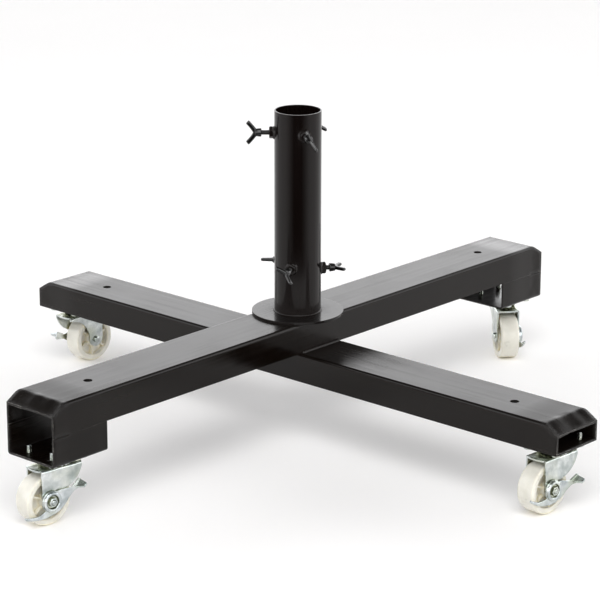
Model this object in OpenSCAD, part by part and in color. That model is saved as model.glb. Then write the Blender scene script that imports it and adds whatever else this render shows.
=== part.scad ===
// Rolling tree stand: two crossed steel channels on four swivel casters,
// with an upright tube that grips a pole with six wing bolts.
// Millimetres. The origin is the middle of the base disc's top, where the pole
// stands in the tube, and +Z is up. The lower channel runs along X and the
// upper channel along Y.

/* [Channels] */
// Length of the upper channel, along Y
upper_len = 1188; // [1000:2:1500]
// Length of the lower channel, along X
lower_len = 1140; // [1000:2:1500]
// Outer width of both channels
beam_w = 101.6; // [96:0.1:120]
// Height of the upper channel
upper_h = 50; // [42:0.5:70]
// Height of the lower channel
lower_h = 47.5; // [42:0.5:70]
// Sheet thickness of the channels, spacers and floor plates
beam_wall = 3; // [2.5:0.1:4]
// Outer radius of the channels' folded edges
fold_r = 5; // [4.5:0.1:8]
// Length of the sloping lip at each channel end
lip_len = 24; // [18:0.5:30]
// Fall of the lip over its length
lip_drop = 15; // [9:0.5:18]
// Outer radius of the bend between the top and the lip
lip_bend_r = 9; // [5:0.5:12]
// Height of the wave that the press left in the lip's lower edge
lip_wave = 1.6; // [0:0.1:2.5]
// Diameter of the hole in the top near each channel end
hole_d = 14; // [8:0.5:20]
// Distance of that hole from the channel end
hole_inset = 120; // [95:1:180]
// Length of the spacers under the upper channel's ends
spacer_len = 110; // [95:1:160]
// Length of the floor plates in the lower channel's ends
floor_len = 110; // [95:1:160]

/* [Tube] */
// Outer diameter of the upright tube
tube_d = 76.2; // [70:0.1:90]
// Wall thickness of the tube
tube_wall = 2.1; // [1.5:0.1:3]
// Height of the tube above the base disc
tube_h = 334.5; // [250:0.5:450]
// Diameter of the base disc
disc_d = 150; // [125:1:200]
// Thickness of the base disc
disc_t = 4; // [3:0.5:8]
// Leg length of the weld round the tube's foot
foot_weld = 5; // [3:0.5:8]

/* [Clamp bolts] */
// Thread diameter of the wing bolts
thread_d = 8; // [6:0.5:10]
// Threaded length of a wing bolt below its hub
shank_len = 16; // [15:0.5:17]
// Depth of the upper ring of bolts below the tube's rim
top_ring_drop = 36; // [25:0.5:80]
// Height of the lower ring of bolts above the base disc
low_ring_rise = 73; // [45:0.5:110]
// Turn of the whole upper ring about the tube
top_ring_turn = 0; // [-30:1:30]
// Turn of the whole lower ring about the tube
low_ring_turn = 0; // [-30:1:30]
// Width across flats of the welded nuts
nut_flats = 17; // [15:0.5:20]
// Thickness of the welded nuts
nut_t = 6.5; // [5:0.5:9]
// Thickness of the weld that lifts each nut off the tube
nut_lift = 1.7; // [0.5:0.1:3]
// Diameter of the weld round each nut
nut_weld_d = 22; // [20:0.5:26]
// Diameter of a wing bolt's hub at its base
hub_d = 14; // [12:0.5:16]
// Length of the hub
hub_len = 10; // [8:0.1:12]
// Distance between the wing tips
wing_span = 41; // [34:0.5:48]
// Distance from the hub's base to the wing tips
wing_reach = 25; // [22:0.5:32]
// Width of a wing's square end
wing_w = 7.6; // [5:0.1:9]
// Thickness of the wings
wing_t = 3.4; // [2.5:0.1:4.5]

/* [Casters] */
// Height of a caster from the floor to the top of its plate
caster_h = 106; // [104:0.5:115]
// Distance of the other casters' swivel axes from their channels' ends
caster_inset = 43; // [40:0.5:60]
// Distance of the south caster's swivel axis from its channel's end
south_inset = 50.5; // [40:0.5:60]
// Distance of the wheel's axle behind the swivel axis
trail = 25; // [20:0.5:30]
// Width of the mounting plate across the channel
plate_across = 77; // [74:0.5:84]
// Width of the mounting plate along the channel
plate_along = 67; // [64:0.5:74]
// Thickness of the mounting plate
plate_t = 3; // [2.5:0.1:4]
// Spacing of the mounting bolts across the channel
bolts_across = 61.5; // [60:0.5:64]
// Spacing of the mounting bolts along the channel
bolts_along = 51.5; // [50:0.5:54]
// Thread diameter of the mounting bolts and the axle
mount_thread_d = 8; // [6:0.5:8]
// Length of thread that stands up inside the channel
stud_rise = 12; // [6:0.5:18]
// Width across flats of the mounting bolts, the axle bolt and its nut
hex_flats = 13; // [12:0.5:14]
// Thickness of those bolts' heads
head_t = 5.3; // [4:0.1:6]

/* [Caster bearing] */
// Depth of the race pressed down into the mounting plate
race_drop = 6.5; // [5:0.1:8]
// Diameter of the upper balls
ball_d = 6.35; // [5.5:0.05:7]
// Radius of the upper ball circle
ball_circle_r = 20; // [17:0.5:22]
// Number of upper balls
ball_count = 18; // [12:1:18]
// Diameter of the lower balls
low_ball_d = 4; // [3:0.1:4.5]
// Number of lower balls
low_ball_count = 12; // [8:1:12]
// Diameter of the kingpin
kingpin_d = 12; // [10:0.5:13]

/* [Wheel] */
// Wheel diameter
wheel_d = 80; // [72:0.5:82]
// Width of the tread
wheel_w = 32; // [26:0.5:36]
// Radius of the tread's edges
tread_r = 3; // [1:0.5:5]
// Thickness of the rim between tread and recess
rim_t = 10; // [7:0.5:13]
// Thickness of the web between the two recesses
web_t = 14; // [8:0.5:18]
// Number of ribs in each recess
rib_count = 6; // [4:1:8]
// Thickness of the ribs
rib_t = 3.6; // [2.5:0.1:5]
// Depth of the ribs' edges below the wheel's face
rib_drop = 3; // [1:0.5:5]
// Diameter of the hub
wheel_hub_d = 27; // [22:0.5:32]
// Diameter of the steel sleeve that the wheel turns on
sleeve_d = 12; // [10.5:0.5:14]

/* [Fork and brake] */
// Sheet thickness of the fork
fork_t = 2.8; // [2:0.1:3.5]
// Diameter of the fork's round crown
crown_d = 85; // [80:0.5:92]
// Distance of the crown's centre behind the swivel axis
crown_shift = 4.5; // [2:0.5:8]
// Radius of the leg's round end
leg_r = 15; // [12:0.5:18]
// Height of the round end's centre above the axle
leg_rise = 2.5; // [0:0.5:5]
// Sheet thickness of the brake lever
lever_t = 2.5; // [2:0.1:3]
// Radius of the lever's disc about the axle
lever_r = 17; // [15:0.5:18]
// Reach of the lever's front arm from the axle
lever_front = 58.5; // [52:0.5:66]
// Reach of the lever's rear arm from the axle
lever_rear = 50; // [44:0.5:64]
// Depth of the lever's belly below the axle
lever_belly = 21.5; // [18:0.5:24]
// Height of the front arm's end
lever_w = 14; // [12:0.5:17]
// Outward width of the front tread
front_tread_w = 14; // [10:0.5:24]
// Inward width of the flange along the rear arm
rear_flange_w = 3; // [1:0.1:3]
// Height of the ring pressed up round the axle nut
lever_ring_h = 4.2; // [2:0.1:5]

/* [Caster positions] */
// Heading of the south caster, the way its swivel axis leads its wheel
south_heading = 82; // [0:1:359]
// Heading of the north caster
north_heading = 142; // [0:1:359]
// Heading of the east caster
east_heading = 86; // [0:1:359]
// Heading of the west caster
west_heading = 267; // [0:1:359]
// Tilt of the south caster's brake lever
south_tilt = 16; // [-10:1:18]
// Tilt of the north caster's brake lever
north_tilt = -6; // [-10:1:18]
// Tilt of the east caster's brake lever
east_tilt = 2; // [-10:1:18]
// Tilt of the west caster's brake lever
west_tilt = 6; // [-10:1:18]

/* [Hidden] */
$fn = 64;
// Radial clearance of pins that turn in a hole
turn_gap = 0.08;
// Radial clearance of bolts in tapped or drilled holes of their own body
bolt_gap = 0.05;
// Gap between faces that pass each other
pass_gap = 0.4;
// Gap between a ball and its race
ball_gap = 0.1;
// Overshoot that lets a cut pass clean through a face
cut = 1;

disc_z = -disc_t;
upper_z = disc_z - upper_h;
lower_z = upper_z - lower_h;
floor_z = lower_z - caster_h;
tube_r = tube_d / 2;
nut_face_r = tube_r + nut_lift + nut_t;
top_ring_z = tube_h - top_ring_drop;
low_ring_z = low_ring_rise;

// Each clamp bolt: direction from +X towards +Y, height above its ring,
// bare thread between nut and hub, and roll of the wings about the bolt
top_a = [106 + top_ring_turn, 0, 9.3, 42];
top_b = [222 + top_ring_turn, -1, 12.5, 90];
top_c = [328 + top_ring_turn, 1.5, 11.6, -62];
low_a = [54 + low_ring_turn, -4.5, 6.2, 0];
low_b = [170 + low_ring_turn, -2, 6.2, 0];
low_c = [296 + low_ring_turn, 6.5, 12.5, -45];

// Heights inside a caster are counted from the floor
plate_z = caster_h - plate_t;
race_r = 27;
race_foot_r = 31;
race_z = plate_z - race_drop;
race_space = ball_d - 0.85;
crown_z = race_z - race_space;
ball_z = race_z - race_space / 2;
wheel_r = wheel_d / 2;
hub_half = wheel_w / 2 + 0.9;
leg_in = hub_half + 0.5;
leg_out = leg_in + fork_t;
fork_fold_r = 4.5;
low_ball_circle_r = kingpin_d / 2 + low_ball_d / 2 + 1.8;
low_race_z = crown_z - fork_t - low_ball_d - 2 * ball_gap;
low_race_r = low_ball_circle_r + low_ball_d / 2 + 1.5;
low_race_t = 2;
lever_in = leg_out + pass_gap;
lever_out = lever_in + lever_t;
nut_in = lever_out + pass_gap;
axle_nut_t = 5;
nut_room_r = hex_flats / cos(30) / 2 + 2.2;
rivet_r = 5.6;
rivet_h = 4.2;
arm_floor = -3.5;
arm_top = arm_floor + lever_w;
// Open seam between the upper channel and the spacers under it
seam_gap = 0.5;

// Each caster: place, turn of its plate, heading and tilt of its brake lever
south = [[0, south_inset - upper_len / 2], 90, south_heading, south_tilt];
north = [[0, upper_len / 2 - caster_inset], 0, north_heading, north_tilt];
east = [[lower_len / 2 - caster_inset, 0], 90, east_heading, east_tilt];
west = [[caster_inset - lower_len / 2, 0], 90, west_heading, west_tilt];

black = "#1b1b1c";
zinc = "#c3c8cc";
nylon = "#e9e6da";
steel = "#8d9094";

// Points on an arc, from angle a to angle b in n steps
function arc(c, r, a, b, n = 6) =
    [for (i = [0:n]) c + r * [cos(a + (b - a) * i / n), sin(a + (b - a) * i / n)]];

// Points on a curve with one control point, its first point left out
function bend(p, q, r, n = 8) =
    [for (i = [1:n]) let (t = i / n) (1 - t) * (1 - t) * p + 2 * t * (1 - t) * q + t * t * r];

// Stand children up so that their X runs along the channel and their Y goes up
module across_x() {
    rotate([90, 0, 0])
        children();
}

// Extrude a shape drawn in Y and Z along X, centred
module along_x(length) {
    rotate([90, 0, 90])
        linear_extrude(length, center = true)
            children();
}

// Extrude a shape drawn in X and Z along Y, from one value to another
module along_y(from, to) {
    translate([0, to, 0])
        rotate([90, 0, 0])
            linear_extrude(to - from)
                children();
}

// Rectangle on the X axis with its two top corners rounded
module round_top(w, h, r) {
    translate([-w / 2, 0])
        square([w, h - r]);
    translate([r - w / 2, 0])
        square([w - 2 * r, h]);
    for (s = [-1, 1])
        translate([s * (w / 2 - r), h - r])
            circle(r);
}

// Side outline of a channel: both ends slope down in a lip.
// inset is the sheet thickness for the inner outline, 0 for the outer one.
module lip_outline(len, h, inset) {
    slope = atan(lip_drop / lip_len);
    reach = inset > 0 ? cut : 0;
    r = lip_bend_r - inset;
    c = [len / 2 - lip_len - lip_bend_r * tan(slope / 2), h - lip_bend_r];
    arc_end = c + r * [sin(slope), cos(slope)];
    end_x = len / 2 + reach;
    end = [end_x, arc_end[1] - (end_x - arc_end[0]) * tan(slope)];
    right = concat(arc(c, r, 90, 90 - slope, 5), [end, [end_x, -reach]]);
    left = [for (i = [len(right) - 1:-1:0]) [-right[i][0], right[i][1]]];
    polygon(concat(right, left));
}

// Cut that leaves the lip's lower edge slightly wavy, at the end x = len / 2
module lip_wave_cut(len, h) {
    slope = atan(lip_drop / lip_len);
    edge_z = h - lip_drop - beam_wall / cos(slope);
    w = beam_w - 2 * beam_wall;
    steps = 16;
    crest = [for (i = [0:steps]) [w * (i / steps - 0.5),
        edge_z + lip_wave / 2 * (1 + sin(360 * i / steps)) * sin(180 * i / steps)]];
    translate([len / 2, 0, 0])
        along_x(2 * beam_wall)
            polygon(concat([[w / 2, edge_z - cut], [-w / 2, edge_z - cut]], crest));
}

// Inverted U channel along X, its lower edges on the plane z = 0
module channel(len, h) {
    difference() {
        intersection() {
            along_x(len)
                round_top(beam_w, h, fold_r);
            along_y(-beam_w / 2, beam_w / 2)
                lip_outline(len, h, 0);
        }
        intersection() {
            translate([0, 0, -cut])
                along_x(len + 2 * cut)
                    round_top(beam_w - 2 * beam_wall, h - beam_wall + cut, fold_r - beam_wall);
            along_y(-beam_w / 2, beam_w / 2)
                lip_outline(len, h, beam_wall);
        }
        for (s = [-1, 1]) {
            translate([s * (len / 2 - hole_inset), 0, h - beam_wall - cut])
                cylinder(d = hole_d, h = beam_wall + 2 * cut);
            scale([s, 1, 1])
                lip_wave_cut(len, h);
        }
    }
}

// The four mounting holes of a caster, as places to put children
module at_mount_holes(turn) {
    rotate(turn)
        for (x = [-1, 1], y = [-1, 1])
            translate([x * bolts_across / 2, y * bolts_along / 2, 0])
                children();
}

// Holes in the floor sheet above a caster
module floor_holes(caster) {
    translate([caster[0][0], caster[0][1], lower_z - cut])
        at_mount_holes(caster[1])
            cylinder(r = mount_thread_d / 2 + bolt_gap, h = beam_wall + 2 * cut);
}

module lower_beam() {
    color(black)
        translate([0, 0, lower_z])
            channel(lower_len, lower_h);
}

module upper_beam() {
    color(black)
        translate([0, 0, upper_z])
            rotate(90)
                channel(upper_len, upper_h);
}

// Upright U channel that lifts the upper beam's end to the lower beam's level.
// side is -1 for the south end and 1 for the north end.
module spacer(side, caster) {
    h = lower_h - seam_gap;
    color(black)
        difference() {
            translate([0, side * (upper_len - spacer_len) / 2, lower_z + h])
                rotate([0, 180, 90])
                    along_x(spacer_len)
                        difference() {
                            round_top(beam_w, h, fold_r);
                            translate([0, -cut])
                                round_top(beam_w - 2 * beam_wall, h - beam_wall + cut,
                                          fold_r - beam_wall);
                        }
            floor_holes(caster);
        }
}

// Flat plate let in between the lower beam's walls, over a caster
module floor_plate(side, caster) {
    color(black)
        difference() {
            translate([side * (lower_len - floor_len) / 2 - floor_len / 2,
                       beam_wall - beam_w / 2, lower_z])
                cube([floor_len, beam_w - 2 * beam_wall, beam_wall]);
            floor_holes(caster);
        }
}

module base_disc() {
    color(black)
        translate([0, 0, disc_z])
            cylinder(d = disc_d, h = disc_t, $fn = 128);
}

// Put children at each of three bolts of a ring, their X pointing outwards
module at_ring(z, bolts) {
    for (bolt = bolts)
        translate([0, 0, z + bolt[1]])
            rotate(bolt[0])
                children();
}

module pole_tube() {
    color(black)
        difference() {
            cylinder(r = tube_r, h = tube_h, $fn = 96);
            translate([0, 0, -cut])
                cylinder(r = tube_r - tube_wall, h = tube_h + 2 * cut, $fn = 96);
            for (ring = [[top_ring_z, [top_a, top_b, top_c]], [low_ring_z, [low_a, low_b, low_c]]])
                at_ring(ring[0], ring[1])
                    translate([tube_r - 2 * tube_wall, 0, 0])
                        rotate([0, 90, 0])
                            cylinder(r = thread_d / 2 + turn_gap, h = 4 * tube_wall);
        }
}

// Hollow fillet of weld metal round the tube's foot
module tube_foot_weld() {
    color(black)
        rotate_extrude($fn = 96)
            polygon(concat([[tube_r, foot_weld], [tube_r, 0], [tube_r + foot_weld, 0]],
                arc([tube_r + foot_weld, foot_weld], foot_weld * 0.9, 265, 185, 6)));
}

// Bead in the corner between a wall and a flat, drawn in the first quadrant
module bead_outline(leg) {
    polygon(concat([[0, 0]], arc([0, 0], leg, 0, 90, 5)));
}

// Beads at the crossing and flush welds on the spacers' seams
module frame_welds() {
    cross_leg = 4.5;
    cross_len = beam_w - 2 * fold_r;
    seam_len = 33;
    seam_from = 55;
    seam_h = 6;
    seam_t = 0.8;
    color(black) {
        for (s = [-1, 1])
            translate([s * beam_w / 2, 0, upper_z])
                scale([s, 1, 1])
                    along_y(-cross_len / 2, cross_len / 2)
                        bead_outline(cross_leg);
        for (s = [-1, 1], side = [-1, 1])
            translate([s * beam_w / 2, side * (upper_len / 2 - seam_from - seam_len / 2), upper_z])
                scale([s, 1, 1])
                    along_y(-seam_len / 2, seam_len / 2)
                        polygon(concat([[0, seam_h / 2], [0, -seam_h / 2]],
                            [for (i = [-3:3]) [seam_t * cos(i * 20), seam_h / 2 * i / 4]]));
    }
}

// Three hexagonal nuts on a ring, each in a collar of weld against the tube
module weld_nuts(z, bolts) {
    weld_h = nut_lift + nut_t / 3;
    color(black)
        difference() {
            at_ring(z, bolts)
                rotate([0, 90, 0])
                    difference() {
                        union() {
                            translate([0, 0, nut_face_r - nut_t])
                                cylinder(d = nut_flats / cos(30), h = nut_t, $fn = 6);
                            translate([0, 0, tube_r - 2])
                                cylinder(d1 = nut_weld_d + 1, d2 = nut_weld_d - 4,
                                         h = weld_h + 2);
                        }
                        translate([0, 0, tube_r - 4])
                            cylinder(r = thread_d / 2 + turn_gap, h = nut_t + nut_lift + 8);
                    }
            translate([0, 0, z - nut_weld_d])
                cylinder(r = tube_r, h = 2 * nut_weld_d, $fn = 96);
        }
}

// Outline of one wing, drawn with the bolt's axis along X
module wing_outline() {
    slant = 38;
    inner_tip = [wing_reach, wing_span / 2 - wing_w * cos(slant)];
    outer_tip = [wing_reach - wing_w * sin(slant), wing_span / 2];
    polygon([[hub_len - 3, 0], [hub_len - 3, hub_d / 2 - 1.5], [hub_len + 0.5, hub_d / 2 + 0.8],
             outer_tip - [1, 1.2], outer_tip + [0.4, -0.5], inner_tip + [-0.4, 0.5],
             inner_tip - [0.6, 0.8], [hub_len + 4.5, 0]]);
}

// Wing bolt on a ring
module wing_bolt(z, bolt) {
    color(black)
        translate([0, 0, z + bolt[1]])
            rotate(bolt[0])
                translate([nut_face_r + bolt[2], 0, 0])
                    rotate([bolt[3], 0, 0]) {
                        rotate([0, 90, 0]) {
                            translate([0, 0, 1.2 - shank_len])
                                cylinder(d = thread_d, h = shank_len);
                            translate([0, 0, -shank_len])
                                cylinder(d1 = thread_d - 2.4, d2 = thread_d, h = 1.2);
                            cylinder(d1 = hub_d, d2 = hub_d - 2, h = hub_len);
                        }
                        linear_extrude(wing_t, center = true) {
                            wing_outline();
                            mirror([0, 1])
                                wing_outline();
                        }
                    }
}

// Put children at a caster, on the floor under its swivel axis, turned to its heading
module at_caster(caster) {
    translate([caster[0][0], caster[0][1], floor_z])
        rotate(caster[2])
            children();
}

// Ring groove for the balls
module ball_groove() {
    translate([0, 0, ball_z])
        rotate_extrude()
            translate([ball_circle_r, 0])
                circle(ball_d / 2 + ball_gap, $fn = 32);
}

// Mounting plate with its centre pressed down into the upper ball race
module caster_plate(caster) {
    color(zinc)
        translate([caster[0][0], caster[0][1], floor_z])
            difference() {
                union() {
                    translate([0, 0, plate_z])
                        rotate(caster[1])
                            plate_blank();
                    translate([0, 0, race_z])
                        cylinder(r1 = race_r, r2 = race_foot_r, h = race_drop);
                }
                translate([0, 0, race_z + plate_t])
                    cylinder(r1 = race_r - plate_t, r2 = race_foot_r - plate_t / 2,
                             h = race_drop + cut / 100);
                translate([0, 0, race_z - cut])
                    cylinder(r = kingpin_d / 2 + bolt_gap, h = plate_t + 2 * cut);
                ball_groove();
                translate([0, 0, plate_z - cut])
                    at_mount_holes(caster[1])
                        cylinder(d = mount_thread_d + 1, h = plate_t + 2 * cut);
            }
}

// Flat blank of the plate, with rounded corners
module plate_blank() {
    corner = 8;
    linear_extrude(plate_t) {
        square([plate_across - 2 * corner, plate_along], center = true);
        square([plate_across, plate_along - 2 * corner], center = true);
        for (x = [-1, 1], y = [-1, 1])
            translate([x * (plate_across / 2 - corner), y * (plate_along / 2 - corner)])
                circle(corner);
    }
}

// Four hexagon bolts, screwed up through the plate into the channel's floor
module mount_bolts(caster) {
    color(zinc)
        translate([caster[0][0], caster[0][1], floor_z])
            at_mount_holes(caster[1]) {
                translate([0, 0, plate_z - head_t])
                    cylinder(d = hex_flats / cos(30), h = head_t, $fn = 6);
                translate([0, 0, plate_z])
                    cylinder(d = mount_thread_d, h = plate_t + beam_wall + stud_rise - 1);
                translate([0, 0, caster_h + beam_wall + stud_rise - 1])
                    cylinder(d1 = mount_thread_d, d2 = mount_thread_d - 2, h = 1);
            }
}

// Rivet that holds the fork, with the lower race as its flange
module kingpin(caster) {
    r = kingpin_d / 2;
    head_z = race_z + plate_t;
    color(steel)
        translate([caster[0][0], caster[0][1], floor_z])
            rotate_extrude()
                polygon([[0, low_race_z - low_race_t], [low_race_r - 1, low_race_z - low_race_t],
                         [low_race_r, low_race_z - low_race_t + 1], [low_race_r, low_race_z],
                         [r, low_race_z], [r, head_z], [r + 3, head_z],
                         [r + 2, head_z + 2.4], [0, head_z + 3]]);
}

// Upper and lower rings of bearing balls
module bearing_balls(caster) {
    color(steel)
        at_caster(caster) {
            for (i = [0:ball_count - 1])
                rotate(360 * i / ball_count)
                    translate([ball_circle_r, 0, ball_z])
                        sphere(d = ball_d, $fn = 24);
            for (i = [0:low_ball_count - 1])
                rotate(360 * i / low_ball_count)
                    translate([low_ball_circle_r, 0, low_race_z + low_ball_d / 2 + ball_gap])
                        sphere(d = low_ball_d, $fn = 24);
        }
}

// Side outline of a fork leg: control is the point that shapes its front edge
module leg_outline(control, join_angle) {
    axle = [-trail, wheel_r];
    front_top = [sqrt(crown_d * crown_d / 4 - leg_out * leg_out) - crown_shift, crown_z - 7];
    c = axle + [0, leg_rise];
    join = c + leg_r * [cos(join_angle), sin(join_angle)];
    polygon(concat([[c[0] - leg_r, crown_z], [front_top[0], crown_z], front_top],
        bend(front_top, control, join, 10), arc(c, leg_r, join_angle, -180, 16)));
}

// Fork folded from one sheet: a round crown with a plain leg and a wider brake leg
module fork(caster) {
    color(zinc)
        at_caster(caster)
            difference() {
                intersection() {
                    along_x(2 * crown_d)
                        difference() {
                            round_top(2 * leg_out, crown_z, fork_fold_r);
                            translate([0, -cut])
                                round_top(2 * leg_in, crown_z - fork_t + cut,
                                          fork_fold_r - fork_t);
                        }
                    translate([-crown_shift, 0, 0])
                        cylinder(d = crown_d, h = crown_z + cut, $fn = 96);
                    union() {
                        translate([-crown_d, -leg_in, crown_z - fork_t])
                            cube([2 * crown_d, 2 * leg_in, fork_t]);
                        along_y(0, leg_out + cut)
                            leg_outline([-2, crown_z - 9], 20);
                        along_y(-leg_out - cut, 0)
                            leg_outline([24, wheel_r + 16], 35);
                    }
                }
                ball_groove();
                translate([0, 0, crown_z - 2 * fork_t])
                    cylinder(r = kingpin_d / 2 + turn_gap, h = 3 * fork_t);
                translate([-trail, 0, wheel_r])
                    rotate([90, 0, 0])
                        cylinder(r = mount_thread_d / 2 + bolt_gap, h = 4 * leg_out,
                                 center = true);
            }
}

// Put children on the wheel's axle, their Z pointing away from the brake
module on_axle(caster) {
    at_caster(caster)
        translate([-trail, 0, wheel_r])
            rotate([-90, 0, 0])
                children();
}

// Sleeve clamped between the legs, on which the wheel turns
module sleeve(caster) {
    color(steel)
        on_axle(caster)
            difference() {
                cylinder(d = sleeve_d, h = 2 * leg_in, center = true);
                cylinder(r = mount_thread_d / 2 + bolt_gap, h = 3 * leg_in, center = true);
            }
}

// Moulded wheel, recessed on both faces round its hub, with radial ribs
module wheel(caster) {
    half = wheel_w / 2;
    recess_r = wheel_r - rim_t;
    hub_r = wheel_hub_d / 2;
    draft = 1.2;
    rib_half = half - rib_drop;
    side = concat(
        [[sleeve_d / 2 + turn_gap, hub_half], [hub_r - 1, hub_half], [hub_r, hub_half - 1],
         [hub_r + draft, web_t / 2]],
        [[recess_r - draft, web_t / 2], [recess_r, half - 1], [recess_r + 1, half]],
        arc([wheel_r - tread_r, half - tread_r], tread_r, 90, 0, 6));
    other = [for (i = [len(side) - 1:-1:0]) [side[i][0], -side[i][1]]];
    color(nylon)
        on_axle(caster) {
            rotate_extrude($fn = 96)
                polygon(concat(side, other));
            for (i = [0:rib_count - 1])
                rotate(22 + 360 * i / rib_count)
                    translate([hub_r - 1.5, -rib_t / 2, -rib_half])
                        cube([recess_r - hub_r + 3, rib_t, 2 * rib_half]);
        }
}

// Axle, its domed head against the plain leg and its thread outside the brake lever
module axle_bolt(caster) {
    color(zinc)
        on_axle(caster) {
            translate([0, 0, leg_out])
                rotate_extrude()
                    polygon([[0, 0], [rivet_r, 0], [rivet_r, rivet_h - 1.4],
                             [rivet_r - 0.7, rivet_h - 0.4], [rivet_r - 2, rivet_h],
                             [0, rivet_h]]);
            translate([0, 0, -nut_in - axle_nut_t - 1])
                cylinder(d = mount_thread_d, h = nut_in + axle_nut_t + 1 + leg_out);
        }
}

// Nut outside the brake lever
module axle_nut(caster) {
    color(zinc)
        on_axle(caster)
            translate([0, 0, -nut_in - axle_nut_t])
                difference() {
                    cylinder(d = hex_flats / cos(30), h = axle_nut_t, $fn = 6);
                    translate([0, 0, -cut])
                        cylinder(r = mount_thread_d / 2 + bolt_gap, h = axle_nut_t + 2 * cut);
                }
}

// Side outline of the brake lever when it lies level, with the axle at its origin
module lever_outline() {
    tip = [-lever_rear, -2];
    polygon(concat(
        arc([lever_front - 2.5, arm_floor + 2.5], 2.5, -90, 0, 4),
        arc([lever_front - 2.5, arm_top - 2.5], 2.5, 0, 110, 5),
        bend([lever_front - 14, arm_top - 7.4], [lever_front - 24, 5.5], [lever_r + 3, 10.5], 5),
        arc([0, 0], lever_r, 40, 212, 16),
        bend([-16, -9.8], [-24, -11.3], [-34, -9.8], 7),
        [[5 - lever_rear, -4.8], tip, tip - [1.5, 1.5], tip - [0.5, 4]],
        bend(tip - [0.5, 4], [-lever_rear * 0.6, -lever_belly * 0.93], [-9, -lever_belly], 7),
        bend([-9, -lever_belly], [12, -lever_belly - 1], [24, -13.5], 7),
        bend([24, -13.5], [32, arm_floor - 4], [lever_front - 16, arm_floor], 5)));
}

// Flat tread folded outwards along an edge of the lever, from one point of its
// side outline to another. Its own outline runs along that edge and outwards.
module folded_tread(from, to, droop, outline) {
    run = to - from;
    translate([from[0], -lever_in, from[1]])
        rotate([0, -atan2(run[1], run[0]), 0])
            rotate([droop, 0, 0])
                translate([0, 0, -lever_t])
                    linear_extrude(lever_t)
                        polygon([for (q = outline) [q[0], -q[1]]]);
}

// Ring pressed up from the lever's disc round the axle nut
module lever_ring() {
    top = lever_out + lever_ring_h;
    rotate([90, 0, 0])
        rotate_extrude()
            polygon([[nut_room_r, lever_out - 0.6], [lever_r - 0.8, lever_out - 0.6],
                     [lever_r - 1.4, top - 1.2], [lever_r - 2.6, top],
                     [nut_room_r + 2.2, top], [nut_room_r + 1, top - 1.2]]);
}

// Stamped brake lever: a disc with a pressed ring on the axle, a rear arm with
// an inward flange and a front arm with a sloping tread
module brake_lever(caster) {
    tread_w = lever_t + front_tread_w;
    color(zinc)
        at_caster(caster)
            translate([-trail, 0, wheel_r])
                rotate([0, -caster[3], 0])
                    difference() {
                        union() {
                            along_y(-lever_out, -lever_in)
                                lever_outline();
                            folded_tread([lever_front - 14.5, arm_top - 8],
                                [lever_front - 1.5, arm_top - 0.9], 19,
                                concat([[0.5, 1], [14, 1], [14.4, lever_t + 1]],
                                    arc([12.5, tread_w - 2], 2, 0, 90, 4),
                                    arc([8, tread_w - 2], 2, 90, 160, 4),
                                    [[0.8, lever_t + 3]]));
                            folded_tread([5 - lever_rear, -5.1], [-34, -10.1], 0,
                                [[12, 1], [12, 0.4 - rear_flange_w], [10.5, -rear_flange_w],
                                 [1.5, -rear_flange_w], [0, 0.4 - rear_flange_w], [0, 1]]);
                            lever_ring();
                        }
                        rotate([90, 0, 0])
                            cylinder(r = mount_thread_d / 2 + turn_gap, h = 3 * lever_out,
                                     center = true);
                    }
}

lower_beam();
upper_beam();
spacer(-1, south);  // south_spacer
spacer(1, north);  // north_spacer
floor_plate(1, east);  // east_floor_plate
floor_plate(-1, west);  // west_floor_plate
base_disc();
pole_tube();
tube_foot_weld();
frame_welds();
weld_nuts(top_ring_z, [top_a, top_b, top_c]);  // top_weld_nuts
weld_nuts(low_ring_z, [low_a, low_b, low_c]);  // low_weld_nuts
wing_bolt(top_ring_z, top_a);  // top_wing_bolt_a
wing_bolt(top_ring_z, top_b);  // top_wing_bolt_b
wing_bolt(top_ring_z, top_c);  // top_wing_bolt_c
wing_bolt(low_ring_z, low_a);  // low_wing_bolt_a
wing_bolt(low_ring_z, low_b);  // low_wing_bolt_b
wing_bolt(low_ring_z, low_c);  // low_wing_bolt_c
caster_plate(south);  // south_plate
mount_bolts(south);  // south_mount_bolts
kingpin(south);  // south_kingpin
bearing_balls(south);  // south_balls
fork(south);  // south_fork
sleeve(south);  // south_sleeve
axle_bolt(south);  // south_axle_bolt
axle_nut(south);  // south_axle_nut
wheel(south);  // south_wheel
brake_lever(south);  // south_brake_lever
caster_plate(north);  // north_plate
mount_bolts(north);  // north_mount_bolts
kingpin(north);  // north_kingpin
bearing_balls(north);  // north_balls
fork(north);  // north_fork
sleeve(north);  // north_sleeve
axle_bolt(north);  // north_axle_bolt
axle_nut(north);  // north_axle_nut
wheel(north);  // north_wheel
brake_lever(north);  // north_brake_lever
caster_plate(east);  // east_plate
mount_bolts(east);  // east_mount_bolts
kingpin(east);  // east_kingpin
bearing_balls(east);  // east_balls
fork(east);  // east_fork
sleeve(east);  // east_sleeve
axle_bolt(east);  // east_axle_bolt
axle_nut(east);  // east_axle_nut
wheel(east);  // east_wheel
brake_lever(east);  // east_brake_lever
caster_plate(west);  // west_plate
mount_bolts(west);  // west_mount_bolts
kingpin(west);  // west_kingpin
bearing_balls(west);  // west_balls
fork(west);  // west_fork
sleeve(west);  // west_sleeve
axle_bolt(west);  // west_axle_bolt
axle_nut(west);  // west_axle_nut
wheel(west);  // west_wheel
brake_lever(west);  // west_brake_lever
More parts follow.
